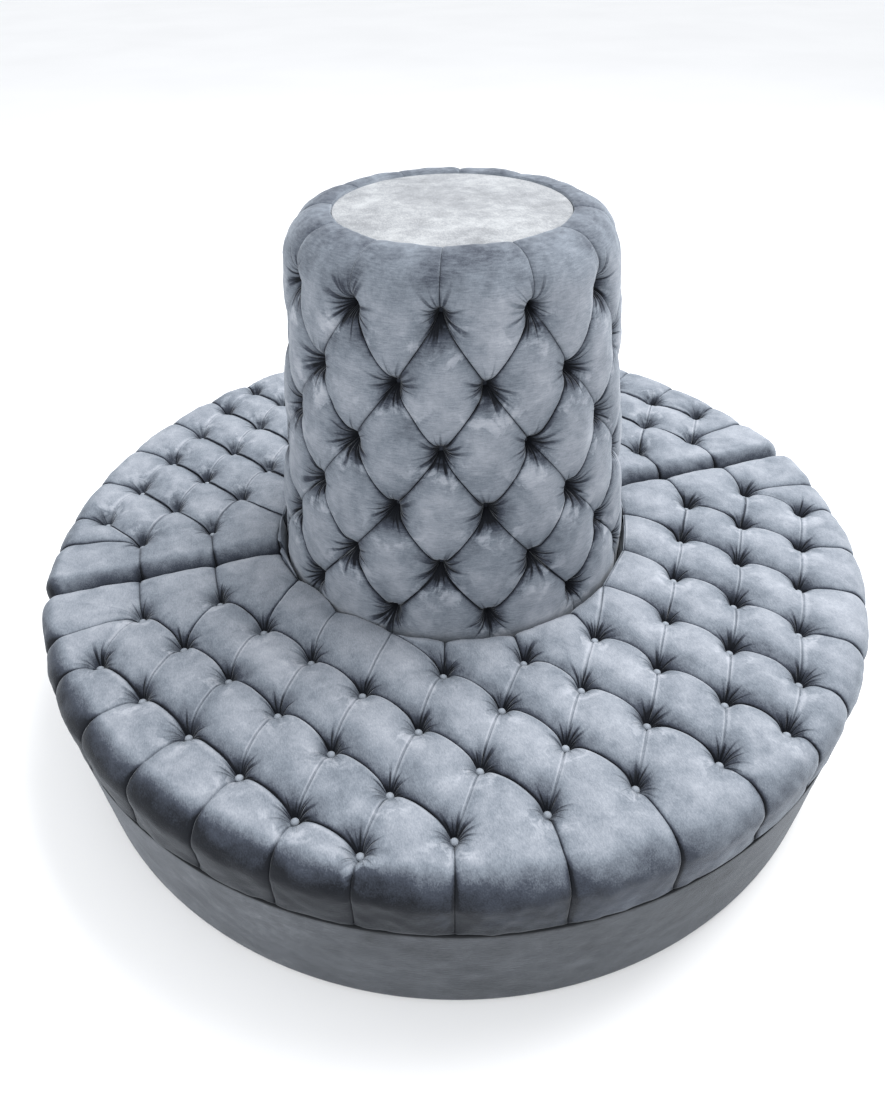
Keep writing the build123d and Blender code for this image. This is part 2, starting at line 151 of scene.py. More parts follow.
# Painted highlights and painted shade on the pile
seam_highlight = 0.5
rim_highlight = 0.45
rim_place = 7 * mm
rim_width = 5 * mm
foot_shade = 0.9
foot_width = 6 * mm
fold_start = 0.5
fold_power = 1.5
fold_shade = 0.6
crease_shade = 1.4
crease_width = 7 * mm
edge_shade = 1.2
edge_roll_share = 0.6
edge_shade_reach = 0.6
edge_seam_shade = 0.8
edge_seam_width = 0.03
shade_sharpness = 3

# Plan direction of the edge that lies in shade in the photograph
shaded_way = (-0.77, -0.64)

# Steps of the covers' meshes, and how closely they are welded
cell_steps = 34
roll_steps = 14
side_steps = 8
under_steps = 5
top_steps = 22
rim_steps = 44
hem_steps = 22
corner_line_points = 40
corner_arc_points = 60
step_crowding = 0.7
border_crowding = 0.6
strip_crowding = 0.5
weld = 0.05 * mm
sliver = 0.01 * mm
mend_rounds = 3

# The depth that marks bare points, which nothing draws in, and a way too short to count
bare = -1.0
tiny = 1e-9

# Waves and mixing of the small uneven values
wave_count = 14
wave_spread = (0.6, 1.8)
hash_factors = (1271.3, 3117.7, 74.7)
hash_scale = 43758.5453


def srgb(colour):
    """Linear colour from a hex value."""
    parts = [int(colour[k : k + 2], 16) / 255 for k in (1, 3, 5)]
    return [c / 12.92 if c <= 0.04045 else ((c + 0.055) / 1.055) ** 2.4 for c in parts] + [1.0]


def hump(share):
    """0 at both ends of a pillow and 1 in its middle."""
    return np.clip(4 * share * (1 - share), 0, 1)


def shares(count, crowding=step_crowding):
    """Shares from 0 to 1, closer together near both ends."""
    even = np.linspace(0, 1, count + 1)
    return (1 - crowding) * even + crowding * (0.5 - 0.5 * np.cos(pi * even))


def even_steps(count):
    """Even shares up to 1, without the start."""
    return np.linspace(0, 1, count + 1)[1:]


def towards(start, end, share):
    """Value or point at a share of the way, for arrays too."""
    return start + (end - start) * share


def wander(place, seed, low, high):
    """A repeatable small uneven value that belongs to one place."""
    mixed = place[0] * hash_factors[0] + place[1] * hash_factors[1] + seed * hash_factors[2]
    value = sin(mixed) * hash_scale
    return low + (high - low) * (value - np.floor(value))


def soft_noise(points, wavelength, seed):
    """Smooth unevenness of about one in height, from waves that run in many directions."""
    picker = np.random.default_rng(seed)
    total = np.zeros(points.shape[:-1])
    for _ in range(wave_count):
        direction = picker.normal(size=3)
        direction *= 2 * pi / (wavelength * picker.uniform(*wave_spread) * np.linalg.norm(direction))
        total += np.sin(points @ direction + picker.uniform(0, 2 * pi))
    return total / sqrt(wave_count)


def ripple(points, waves, seed):
    """Soft unevenness of several sizes, each given by its height and wavelength."""
    total = 0
    for number, (height, wavelength) in enumerate(waves):
        total = total + height * soft_noise(points, wavelength, seed + number)
    return total


def flat_points(plan, height):
    """Plan points lifted to one height."""
    return np.concatenate([plan, np.full(plan.shape[:-1] + (1,), height)], axis=-1)


def read_line(at, places, line):
    """Plan points at new places along a line of plan points."""
    return np.stack([np.interp(at, places, line[:, k]) for k in (0, 1)], axis=-1)


def heading(angle):
    """Plan direction of an angle."""
    return np.stack([np.cos(angle), np.sin(angle)], axis=-1)


def around_axis(angle, radius, height):
    """Points of a ring or band round the middle of the sofa."""
    return np.stack([np.cos(angle) * radius, np.sin(angle) * radius, height], axis=-1)


# Meshes


def grid_faces(rows, columns, first=0, closed=False):
    """Faces of a grid of points, closed from the last row to the first if asked."""
    index = np.arange(rows * columns).reshape(rows, columns) + first
    if closed:
        index = np.concatenate([index, index[:1]])
    quads = np.stack([index[:-1, :-1], index[:-1, 1:], index[1:, 1:], index[1:, :-1]], axis=-1)
    return quads.reshape(-1, 4)


def new_mesh(name, points, faces):
    """A mesh from arrays of points and faces."""
    data = bpy.data.meshes.new(name)
    data.from_pydata(points.reshape(-1, 3).tolist(), [], faces.tolist())
    return data


def write_painted_shade(data, shade):
    """Stores the painted shade at each point for the velvet's shader: darker above zero, a painted highlight
    below.
    """
    sink = data.attributes.new("sink", "FLOAT", "POINT")
    sink.data.foreach_set("value", shade.astype(np.float32).ravel())


def read_all(elements, name, kind=float, width=3):
    """One value of every element of a mesh, as an array."""
    values = np.empty(len(elements) * width, kind)
    elements.foreach_get(name, values)
    return values.reshape(-1, width).squeeze()


def form_of(data):
    """An editable form of a mesh."""
    form = bmesh.new()
    form.from_mesh(data)
    return form


def rims_of(form):
    """The open edges of a form."""
    return [edge for edge in form.edges if edge.is_boundary]


def split_wide(form):
    """Cuts faces of more than four sides into triangles."""
    bmesh.ops.triangulate(form, faces=[face for face in form.faces if len(face.verts) > 4])


def link_object(name, data):
    """A new object in the scene."""
    thing = bpy.data.objects.new(name, data)
    bpy.context.collection.objects.link(thing)
    return thing


def finish_mesh(form, data, name, flat_ends=False):
    """Writes a form back with smooth faces that look outwards, and makes its piece."""
    bmesh.ops.recalc_face_normals(form, faces=form.faces)
    for face in form.faces:
        face.smooth = not (flat_ends and len(face.verts) == 3)
    form.to_mesh(data)
    form.free()
    return link_object(name, data)


def close_sole(form):
    """Welds the open foot of a seat's cover and fills it level."""
    sole_top = plinth_height + 2 * underside_gap
    low = [end for end in form.verts if end.is_boundary and end.co.z < sole_top]
    bmesh.ops.remove_doubles(form, verts=low, dist=sole_weld)
    sole = [edge for edge in rims_of(form) if max(end.co.z for end in edge.verts) < sole_top]
    if sole:
        bmesh.ops.triangle_fill(form, edges=sole, use_beauty=True, normal=(0, 0, 1))


def mend_faces(form):
    """Remakes the faces round every edge that more than two share, and closes what is open."""
    for _ in range(mend_rounds):
        around = [face for face in form.faces if any(len(edge.link_faces) > 2 for edge in face.edges)]
        bmesh.ops.delete(form, geom=around, context="FACES")
        rims = rims_of(form)
        if rims:
            bmesh.ops.holes_fill(form, edges=rims, sides=0)


# Covers: every patch is a grid of points on the full crown, with a normal and a depth for each


class Cover:
    """Collects the patches of one tufted cover and turns them into one mesh."""

    def __init__(self, buttons, pleat_depth, seed):
        self.patches = []
        self.faces = []
        self.count = 0
        self.buttons = buttons
        self.pleat_depth = pleat_depth
        self.seed = seed

    def patch(self, crown, normal, depth, painted_light=0.0):
        """Adds one grid of rows and columns with its painted light: painted highlight above zero and painted
        shade below.
        """
        rows, columns = depth.shape
        values = (crown, normal, depth, np.broadcast_to(painted_light, depth.shape))
        self.patches.append([grid.reshape(rows * columns, -1) for grid in values])
        self.faces.append(grid_faces(rows, columns, self.count))
        self.count += rows * columns

    def pull(self, crown):
        """Depth added near the buttons: a funnel, and gathers that fan out from it."""
        picker = np.random.default_rng(self.seed)
        extra = np.zeros(len(crown))
        for place, across, up_slope, drop in self.buttons:
            away = crown - place
            distance = np.linalg.norm(away, axis=1)
            near = distance < pull_reach
            reach = distance[near]
            hole = np.exp(-((reach / hole_reach) ** 2))
            dish = np.exp(-((reach / dish_reach) ** dish_power))
            extra[near] += drop * towards(hole, dish, dish_share)
            angle = np.arctan2(away[near] @ up_slope, away[near] @ across)
            start = np.clip((reach - gather_start) / gather_onset, 0, 1)
            width = gather_width + gather_widening * reach
            for fold in range(gather_count):
                middle = 2 * pi * (fold + picker.uniform(-gather_stray, gather_stray)) / gather_count
                strength = picker.uniform(*gather_strengths) * gather_depth
                fade = picker.uniform(*gather_fades)
                side = np.abs(np.angle(np.exp(1j * (angle - middle)))) * reach
                extra[near] += strength * start * np.exp(-reach / fade) * np.exp(-((side / width) ** 2))
        return extra

    def mesh(self, name):
        """Welds the patches into one closed mesh."""
        crown, normal, depth, painted_light = [np.concatenate(values).squeeze() for values in zip(*self.patches)]
        padded = depth > bare / 2
        fold = np.clip((depth / self.pleat_depth - fold_start) / (1 - fold_start), 0, 1) ** fold_power
        depth = np.where(padded, depth + self.pull(crown), 0)
        depth += np.where(padded, ripple(crown, cushion_waves, self.seed), 0)
        data = new_mesh(name, crown - normal * depth[:, None], np.concatenate(self.faces))
        # Painted shade: darker the deeper a point is drawn in and along the pleats' folds, less the painted
        # highlights
        shade = np.clip(depth / seat_button_depth, 0, 1) + fold_shade * np.where(padded, fold, 0)
        write_painted_shade(data, shade - painted_light)
        form = form_of(data)
        bmesh.ops.remove_doubles(form, verts=form.verts, dist=weld)
        bmesh.ops.dissolve_degenerate(form, dist=sliver, edges=form.edges)
        close_sole(form)
        mend_faces(form)
        split_wide(form)
        piece = finish_mesh(form, data, name)
        self.chart_tufts(data)
        return piece

    def chart_tufts(self, data):
        """UV maps that give each face its place from the nearest button, and that button's number."""
        places, across, up_slope = [np.array([button[part] for button in self.buttons]) for part in range(3)]
        points = read_all(data.vertices, "co")
        corners = read_all(data.loops, "vertex_index", int, 1)
        sizes = read_all(data.polygons, "loop_total", int, 1)
        centres = read_all(data.polygons, "center")
        nearest = np.zeros(len(centres), int)
        least = np.full(len(centres), np.inf)
        for number, place in enumerate(places):
            distance = np.linalg.norm(centres - place, axis=1)
            closer = distance < least
            nearest[closer] = number
            least[closer] = distance[closer]
        button = np.repeat(nearest, sizes)
        away = points[corners] - places[button]
        offset = np.stack([(away * across[button]).sum(1), (away * up_slope[button]).sum(1)], axis=1)
        number = np.stack([button, button], axis=1)
        for name, values in (("tuft", offset), ("tuft_number", number)):
            layer = data.uv_layers.new(name=name)
            layer.data.foreach_set("uv", values.astype(np.float32).ravel())


# Seat cushions

tufts = [
    (column, row)
    for row, (start, end) in enumerate(zip(row_starts, row_ends))
    for column in range(-end, end + 1, 2)
    if abs(column) >= start
]


def has_button(tuft):
    """True for a tuft that stands far enough from the column for a button."""
    free_radius = seat_inner_radius + button_foot_distance
    return hypot(tuft[0] * half_pitch, first_row + tuft[1] * row_pitch) > free_radius


def tuft_place(tuft):
    """Plan position of a tuft, kept clear of both edges, or beside the column if it has no button."""
    place = np.array([tuft[0] * half_pitch, -first_row - tuft[1] * row_pitch])
    distance = np.linalg.norm(place)
    if not has_button(tuft):
        return place * ((seat_inner_radius + tuft_edge_margin) / distance)
    nearest = seat_inner_radius + button_edge_margin
    return place * (min(max(distance, nearest), seat_radius - button_edge_margin) / distance)


def pleat_line(start, end, seed):
    """Plan points of the pleat between two tufts, bowed a little to one side."""
    first, last = sorted((start, end))
    a, b = tuft_place(first), tuft_place(last)
    share = shares(cell_steps)[:, None]
    side = np.array([a[1] - b[1], b[0] - a[0]]) / np.linalg.norm(b - a)
    bow = wander((a + b) / 2, seed, -pleat_stray, pleat_stray)
    if last[1] > first[1]:
        bow += pleat_bow
    line = towards(a, b, share) + side * bow * hump(share)
    return line if start == first else line[::-1]


def lip(share, reach):
    """Share moved towards the pleat at 0, so that the pillow's edge bulges over the fold."""
    return share - reach * (share / lip_start) * np.exp(1 - share / lip_start)


def pillow_swell(across, along):
    """Height of a pillow: steep behind its back pleat, long before its front one, low side seams."""
    profile = hump(along) ** towards(steep_fullness, long_fullness, along)
    return profile * towards(seam_fill * hump(along) ** seam_power, 1, hump(across) ** fullness)


def pleat_floor(start, end):
    """Depth along the pleat between two tufts: less where it is a side seam of its pillows."""
    along = shares(cell_steps)
    if (end[0] - start[0]) * (end[1] - start[1]) > 0:
        return np.full_like(along, seat_pleat_depth)
    along = along if end[1] > start[1] else 1 - along
    return seat_pleat_depth * (1 - pillow_swell(0 * along, along))


def seat_diamonds(cover, seed):
    """Patches of the pillows that have four tufts."""
    share = shares(cell_steps)
    u, v = np.meshgrid(share, share)
    swell = pillow_swell(u, v)
    for column, row in tufts:
        corners = [(column, row), (column + 1, row + 1), (column - 1, row + 1), (column, row + 2)]
        if not all(corner in tufts for corner in corners):
            continue
        near, right, left, far = corners
        over_v = lip(v, seat_lip)
        low = pleat_line(near, right, seed)
        high = pleat_line(left, far, seed)
        first = pleat_line(near, left, seed)
        last = pleat_line(right, far, seed)
        sides = ((low, u), (high, u), (first, over_v), (last, over_v))
        lines = [read_line(at, share, line) for line, at in sides]
        a, b, c, d = [tuft_place(corner) for corner in corners]
        x, y = u[..., None], over_v[..., None]
        plan = (1 - y) * lines[0] + y * lines[1] + (1 - x) * lines[2] + x * lines[3]
        plan -= (1 - x) * (1 - y) * a + x * (1 - y) * b + (1 - x) * y * c + x * y * d
        beside_seam = (np.minimum(u, 1 - u) - seam_ridge_place) / seam_ridge_width
        ridge = np.maximum(np.exp(-(beside_seam**2)) - seam_ridge_cut, 0) * hump(v)
        crown_rise = wander(a, seed + 3, pillow_sag, pillow_rise) * hump(u) * hump(v) + seam_ridge * ridge
        run = v * np.linalg.norm(d - a)
        # Painted highlight on the seam ridges and in front of the pleat, painted shade at the foot of the
        # slope behind the next pleat
        painted_light = seam_highlight * ridge + pleat_highlight(run, hump(u)) - pleat_shade(run[-1:] - run)
        depth = seat_pleat_depth * (1 - swell) - crown_rise
        up = np.zeros(plan.shape[:-1] + (3,))
        up[..., 2] = 1
        cover.patch(flat_points(plan, seat_height), up, depth, painted_light)


def pleat_highlight(distance, swell):
    """Painted highlight: a pale rim just in front of a pleat, where the pillow's edge catches the light."""
    return rim_highlight * swell * np.exp(-(((distance - rim_place) / rim_width) ** 2))


def pleat_shade(distance):
    """Painted shade at the foot of the slope behind a pleat."""
    return foot_shade * np.exp(-((distance / foot_width) ** 2))


def seat_walk():
    """Border tufts in order round the seat, each with the edge that its own pleat runs to."""
    last = len(row_ends) - 1
    split = [((column, 0), "split") for column in range(row_starts[0], row_ends[0] + 1, 2)]
    side = [((end, row), "outer") for row, end in enumerate(row_ends)]
    front_end = row_ends[last] - 2
    front = [((column, last), "outer") for column in range(front_end, -front_end - 1, -2)]
    near_rows = [row for row, start in enumerate(row_starts) if start > 1]
    foot = [((row_starts[row], row), "inner") for row in near_rows]
    foot_end = row_starts[near_rows[-1]] - 1
    under = [((column, len(near_rows)), "inner") for column in range(-foot_end, foot_end + 1, 2)]

    def mirrored(stretch):
        return [((-column, row), kind) for (column, row), kind in reversed(stretch)]

    walk = split + side + front + mirrored(side) + mirrored(split)
    return walk + [((-column, row), kind) for (column, row), kind in foot] + under + foot[::-1]


def edge_place(tuft, kind):
    """Where a border pleat meets the outline: x along the split, or an angle round the middle."""
    place = tuft_place(tuft)
    if kind == "split":
        return copysign(max(abs(place[0]), seat_inner_radius + inner_corner_margin), place[0])
    return atan2(place[1], place[0])


def outline(kind, place):
    """Plan points on the seat's outline with their outward directions."""
    place = np.asarray(place, float)
    if kind == "split":
        points = np.stack([place, np.full_like(place, -split_gap / 2)], axis=-1)
        return points, np.stack([np.zeros_like(place), np.ones_like(place)], axis=-1)
    direction = heading(place)
    if kind == "outer":
        return direction * seat_radius, direction
    return direction * seat_inner_radius, -direction


def corner_outline(tuft, kind, share):
    """Outline round a corner, from the split pleat to the pleat on the outer or inner arc."""
    if kind == "outer":
        outward, radius = 1, seat_corner_radius
        centre_distance = seat_radius - radius
    else:
        outward, radius = -1, seat_inner_corner_radius
        centre_distance = seat_inner_radius + radius
    side = copysign(1, tuft[0])
    centre_y = -split_gap / 2 - radius
    centre = np.array([side * sqrt(centre_distance**2 - centre_y**2), centre_y])
    end_direction = centre / np.linalg.norm(centre) * outward
    turn = atan2(end_direction[0] * -side, end_direction[1])
    along_split = np.linspace(edge_place(tuft, "split"), centre[0], corner_line_points)
    straight, straight_out = outline("split", along_split)
    bend = turn * np.linspace(0, 1, corner_arc_points)
    bend_out = np.stack([-side * np.sin(bend), np.cos(bend)], axis=-1)
    arc_start = atan2(centre[1], centre[0])
    arc, arc_out = outline(kind, np.linspace(arc_start, edge_place(tuft, kind), corner_arc_points))
    points = np.concatenate([straight, centre + bend_out * radius, arc])
    normals = np.concatenate([straight_out, bend_out, arc_out])
    length = np.concatenate([[0], np.cumsum(np.linalg.norm(np.diff(points, axis=0), axis=1))])
    at = share * length[-1]
    points, normals = [read_line(at, length, values) for values in (points, normals)]
    return points, normals / np.linalg.norm(normals, axis=1, keepdims=True)


def inner_line(first, last, seed):
    """Plan points and depths along the one or two pleats that close a border pillow inside."""
    if first == last:
        count = 2 * cell_steps + 1
        return np.repeat(tuft_place(first)[None], count, axis=0), np.full(count, seat_pleat_depth)
    if abs(first[0] - last[0]) != 2:
        return pleat_line(first, last, seed), pleat_floor(first, last)
    middle_column = (first[0] + last[0]) // 2
    shared = [tuft for tuft in tufts if tuft[0] == middle_column]
    middle = min(shared, key=lambda tuft: abs(tuft[1] - first[1]))
    line = np.concatenate([pleat_line(first, middle, seed), pleat_line(middle, last, seed)[1:]])
    floor = np.concatenate([pleat_floor(first, middle), pleat_floor(middle, last)[1:]])
    return line, floor


def strip_shares(count):
    """Shares across a border pillow, closer together at its pleats and at its middle tuft."""
    if count == cell_steps + 1:
        return shares(cell_steps)
    half = shares(cell_steps) / 2
    return np.concatenate([half, half[1:] + 0.5])


def rise_share(path):
    """How near a border pillow is to its full swell, after a way from its inner pleats."""
    return 1 - (1 - np.clip(path / rise_length, 0, 1)) ** 2


def border_rows(inner, edge, outward, roll, reach):
    """Crown points, normals and way travelled, over the top, round the edge, down and under."""
    rim = edge - outward * reach
    drop = roll[:, None]
    up = np.array([0, 0, 1.0])
    out3 = flat_points(outward, 0)
    rows = []
    for step in shares(top_steps, border_crowding):
        plan = towards(inner, rim, step)
        travelled = np.linalg.norm(plan - inner, axis=1)
        rows.append((flat_points(plan, seat_height), np.repeat(up[None], len(edge), 0), travelled))
    run = np.linalg.norm(rim - inner, axis=1)
    for angle in even_steps(roll_steps) * pi / 2:
        point = flat_points(rim + outward * reach * sin(angle), seat_height) - up * drop * (1 - cos(angle))
        rows.append((point, out3 * sin(angle) + up * cos(angle), run + reach[:, 0] * angle))
    side_low = plinth_height + underside_gap + foot_roll_radius
    travelled = rows[-1][2]
    for step in even_steps(side_steps):
        height = towards(seat_height - drop[:, 0], side_low, step)
        point = np.concatenate([edge, height[:, None]], axis=1)
        rows.append((point, out3, travelled + (seat_height - drop[:, 0] - height)))
    travelled = rows[-1][2]
    for angle in even_steps(under_steps) * pi / 2:
        inward = foot_roll_radius * (1 - cos(angle))
        point = flat_points(edge - outward * inward, side_low - foot_roll_radius * sin(angle))
        rows.append((point, out3 * cos(angle) - up * sin(angle), travelled + foot_roll_radius * angle))
    crown, normal, path = [np.stack(values) for values in zip(*rows)]
    return crown, normal / np.linalg.norm(normal, axis=-1, keepdims=True), path, run


def seat_border(cover, start, end, shaded, seed):
    """Patch of one border pillow, from the inner pleats over the edge to the board."""
    (first, first_kind), (last, last_kind) = start, end
    inner, floor = inner_line(first, last, seed)
    share = strip_shares(len(inner))
    roll = towards(edge_roll[first_kind], edge_roll[last_kind], share)
    if first_kind == last_kind:
        ends = edge_place(first, first_kind), edge_place(last, last_kind)
        edge, outward = outline(first_kind, towards(*ends, share))
    elif first_kind == "split":
        edge, outward = corner_outline(first, last_kind, share)
    else:
        edge, outward = [values[::-1] for values in corner_outline(last, first_kind, 1 - share[::-1])]
    widest = roll
    if first_kind != last_kind:
        at_outer = "outer" in (first_kind, last_kind)
        corner_radius = seat_corner_radius if at_outer else seat_inner_corner_radius
        tightening = np.clip(corner_tightening * hump(share), 0, 1)
        widest = towards(roll, corner_roll_share * corner_radius, tightening)
    distance = np.linalg.norm(edge - inner, axis=1)
    reach = np.minimum(np.minimum(roll, widest), distance * edge_reach_share)[:, None]
    crown, normal, path, run = border_rows(inner, edge, outward, roll, reach)
    rise = rise_share(path)
    past = np.clip((path - run) / (path[-1] - run + tiny), 0, 1)
    power = towards(fullness, edge_fullness, rise)
    swell = (np.maximum(hump(share)[None] * rise, 0)) ** power
    pleat = towards(floor[None], edge_pleat_depth, rise)
    pleat = np.where(past > 0, towards(pleat, foot_pleat_depth, past), pleat)
    fade = 1 - np.clip((past - (1 - foot_fade_share)) / foot_fade_share, 0, 1)
    # Painted highlight in front of the inner pleats or painted shade behind the split's pleat; painted shade
    # in the crease under the foot, on the edge turned to the shaded way and along the edge's seams
    painted_light = -pleat_shade(path) if first_kind == "split" else pleat_highlight(path, hump(share)[None])
    crease = np.zeros(len(crown))
    crease[-under_steps:] = crease_shade * even_steps(under_steps)
    over_edge = np.clip((path - run) / (edge_shade_reach * roll), 0, 1)
    lowering = towards(past, over_edge, edge_roll_share)
    shadow = edge_shade * lowering * np.clip(outward @ shaded, 0, 1) ** shade_sharpness
    seam = np.exp(-((np.minimum(share, 1 - share) / edge_seam_width) ** 2))
    shadow = shadow + edge_seam_shade * over_edge * seam
    cover.patch(crown, normal, pleat * (1 - swell) * fade, painted_light - crease[:, None] - shadow)
    tuck = edge - outward * (foot_roll_radius + underside_reach)
    under = np.stack([crown[-1], flat_points(tuck, plinth_height + underside_gap)])
    cover.patch(under, np.zeros_like(under), np.full(under.shape[:2], bare))


def seat_cushion(name, turned, seed):
    """One half's cushion: pillows between the tufts, and border pillows that roll over its edges."""
    across, up_slope = np.array([1.0, 0, 0]), np.array([0, 1.0, 0])
    pulls = [
        (np.append(tuft_place(tuft), seat_height), across, up_slope, seat_button_depth - seat_pleat_depth)
        for tuft in tufts
        if has_button(tuft)
    ]
    cover = Cover(pulls, seat_pleat_depth, seed)
    seat_diamonds(cover, seed)
    shaded = np.array(shaded_way) * (-1 if turned else 1)
    walk = seat_walk()
    for start, end in zip(walk, walk[1:] + walk[:1]):
        seat_border(cover, start, end, shaded, seed)
    piece = cover.mesh(name)
    if turned:
        piece.data.transform(Matrix.Rotation(pi, 4, "Z"))
    return piece


# Column cushion

rim_centre_radius = column_head_radius - rim_roll_radius
rim_centre_height = column_height - rim_roll_radius
column_slant = hypot(column_foot_radius - column_head_radius, rim_centre_height - seat_height)
column_lean = atan2(column_foot_radius - column_head_radius, rim_centre_height - seat_height)
column_cover_length = column_slant + rim_roll_radius * rim_lip_turn
column_row_pitch = (column_slant - column_top_row_drop - column_first_row) / (column_row_count - 1)
column_pitch = 2 * pi / column_button_count


def column_surface(angle, climb):
    """Crown points and normals: climb runs up the slant and over the rim to its lip."""
    share = np.clip(climb / column_slant, 0, 1)
    radius = towards(column_foot_radius, column_head_radius, share)
    height = towards(seat_height, rim_centre_height, share) + np.minimum(climb, 0)
    over = np.maximum(climb - column_slant, 0) / rim_roll_radius
    blend = np.clip((climb - column_slant + column_lean_blend) / column_lean_blend, 0, 1)
    turn = np.where(climb > column_slant, over, column_lean * (1 - blend))
    turn = np.where(climb < 0, 0, turn)
    on_roll = climb > column_slant
    radius = np.where(on_roll, rim_centre_radius + rim_roll_radius * np.cos(over), radius)
    height = np.where(on_roll, rim_centre_height + rim_roll_radius * np.sin(over), height)
    outward = heading(angle)
    points = np.concatenate([outward * radius[..., None], height[..., None]], axis=-1)
    normal = np.concatenate([outward * np.cos(turn)[..., None], np.sin(turn)[..., None]], axis=-1)
    return points, normal


def column_angle(place, row):
    """Rows count up from the foot, and each is shifted by half a pitch from the next."""
    return column_phase + (place + 0.5 * ((column_row_count - 1 - row) % 2)) * column_pitch


def column_climb(row):
    """How far up the slant a row of buttons is."""
    return column_first_row + row * column_row_pitch


def column_button_depth(row):
    """Buttons are drawn in deeper towards the foot, where the padding is thicker."""
    return towards(column_foot_button_depth, column_head_button_depth, row / (column_row_count - 1))


def column_diamonds(cover, seed):
    """Patches of the pillows between four buttons of three neighbouring rows."""
    share = shares(cell_steps)
    u, v = np.meshgrid(share, share)
    over_u = 1 - lip(1 - u, column_lip)
    over_v = 1 - lip(1 - v, column_lip)
    swell = (hump(u) * hump(v)) ** column_fullness
    for row in range(column_row_count - 2):
        for place in range(column_button_count):
            middle = column_angle(place, row)
            angle = middle + (over_u - over_v) * column_pitch / 2
            climb = towards(column_climb(row), column_climb(row + 2), (over_u + over_v) / 2)
            crown, normal = column_surface(angle, climb)
            rise = wander((place + 0.5, row + 0.5), seed, pillow_sag, pillow_rise)
            cover.patch(crown, normal, column_pleat_depth - (column_pleat_depth + rise) * swell)


def column_strips(cover, row, inner_row, end_climb, steps, end_depth):
    """Border pillows from the pleats of an end row to the lip or to the foot, and the inner face."""
    share = strip_shares(2 * cell_steps + 1)
    zigzag = 1 - np.abs(2 * share - 1)
    for place in range(column_button_count):
        angle = column_angle(place, row) + share * column_pitch
        start = towards(column_climb(row), column_climb(inner_row), zigzag)
        climb = towards(start[None], end_climb, shares(steps, strip_crowding)[:, None])
        crown, normal = column_surface(np.repeat(angle[None], len(climb), 0), climb)
        path = np.abs(climb - start[None])
        rise = rise_share(path)
        power = towards(column_fullness, edge_fullness, rise)
        swell = (hump(share)[None] * rise) ** power
        past = path / (path[-1:] + tiny)
        pleat = towards(column_pleat_depth, rim_pleat_depth, rise)
        pleat = towards(pleat, end_depth, np.clip(2 * past - 1, 0, 1))
        lowered = pleat * (1 - swell)
        cover.patch(crown, normal, lowered)
        inside = heading(angle)
        rings = [crown[-1]]
        if row:
            lip_ring = crown[-1] - normal[-1] * lowered[-1][:, None]
            lip_reach = np.linalg.norm(lip_ring[:, :2], axis=1)[:, None]
            rings.append(flat_points(inside * lip_reach, column_board_top))
            rings.append(flat_points(inside * column_inner_head, column_board_top))
        rings = np.stack(rings + [flat_points(inside * column_inner_foot, plinth_height)])
        depth = np.full(rings.shape[:2], bare)
        depth[0] = lowered[-1]
        directions = np.zeros_like(rings)
        directions[0] = normal[-1]
        cover.patch(rings, directions, depth)


def column_tufts():
    """Row, angle, crown point and normal of every button of the column."""
    for row in range(column_row_count):
        for place in range(column_button_count):
            angle = column_angle(place, row)
            yield row, angle, *column_surface(np.array(angle), np.array(column_climb(row)))


def column_cushion(name, seed):
    """The tapering tufted cover with its padded rim, open inside for the frame."""
    pulls = []
    for row, angle, point, normal in column_tufts():
        across = np.array([-sin(angle), cos(angle), 0])
        drop = column_button_depth(row) - column_pleat_depth
        pulls.append((point, across, np.cross(normal, across), drop))
    cover = Cover(pulls, column_pleat_depth, seed)
    column_diamonds(cover, seed)
    top = column_row_count - 1
    column_strips(cover, top, top - 1, column_cover_length, rim_steps, lip_pleat_depth)
    column_strips(cover, 0, 1, plinth_height - seat_height, hem_steps, hem_pleat_depth)
    return cover.mesh(name)


# Covered buttons: one dome made and copied to every tuft


def deselect():
    """Starts the next operator from an empty selection."""
    bpy.ops.object.select_all(action="DESELECT")


def button_dome():
    """A flat-backed dome, drawn over its edge, standing on the origin."""
    deselect()
    bpy.ops.mesh.primitive_uv_sphere_add(
        segments=button_segments, ring_count=button_rings, radius=button_radius
    )
    dome = bpy.context.object
    bpy.ops.object.mode_set(mode="EDIT")
    bpy.ops.mesh.select_all(action="SELECT")
    bpy.ops.transform.resize(value=(1, 1, button_height / button_radius))
    back = (0, 0, -button_back_share * button_height)
    bpy.ops.mesh.bisect(plane_co=back, plane_no=(0, 0, -1), clear_outer=True, use_fill=True)
    bpy.ops.object.mode_set(mode="OBJECT")
    for face in dome.data.polygons:
        face.use_smooth = True
    return dome


def button_group(name, places):
    """Copies of the dome, each turned to its own tuft, joined as one piece."""
    dome = button_dome()
    copies = []
    for point, direction in places:
        copy = link_object(name, dome.data.copy())
        tilt = Vector(direction).to_track_quat("Z", "Y").to_matrix().to_4x4()
        copy.data.transform(Matrix.Translation(Vector(point)) @ tilt)
        copies.append(copy)
    bpy.data.objects.remove(dome)
    deselect()
    for copy in copies:
        copy.select_set(True)
    bpy.context.view_layer.objects.active = copies[0]
    bpy.ops.object.join()
    group = bpy.context.object
    group.name = name
    return group


def seat_buttons(name, turned, seed):
    """Buttons of one seat, each a little off upright."""
    picker = np.random.default_rng(seed)
    places = []
    side = -1 if turned else 1
    for tuft in tufts:
        if has_button(tuft):
            x, y = side * tuft_place(tuft)
            lean = picker.uniform(-seat_button_lean, seat_button_lean, 2)
            places.append(((x, y, seat_height - seat_button_depth + button_lift), (*lean, 1)))
    return button_group(name, places)


def column_buttons(name, seed):
    """Buttons of the column, standing square to its slant."""
    picker = np.random.default_rng(seed)
    places = []
    for row, _, point, normal in column_tufts():
        point = point - normal * (column_button_depth(row) - column_button_lift)
        direction = normal + picker.uniform(-column_button_lean, column_button_lean, 3)
        places.append((tuple(point), tuple(direction)))
    return button_group(name, places)


# Plinth covers: velvet over a layer of foam, stretched round each half's plinth

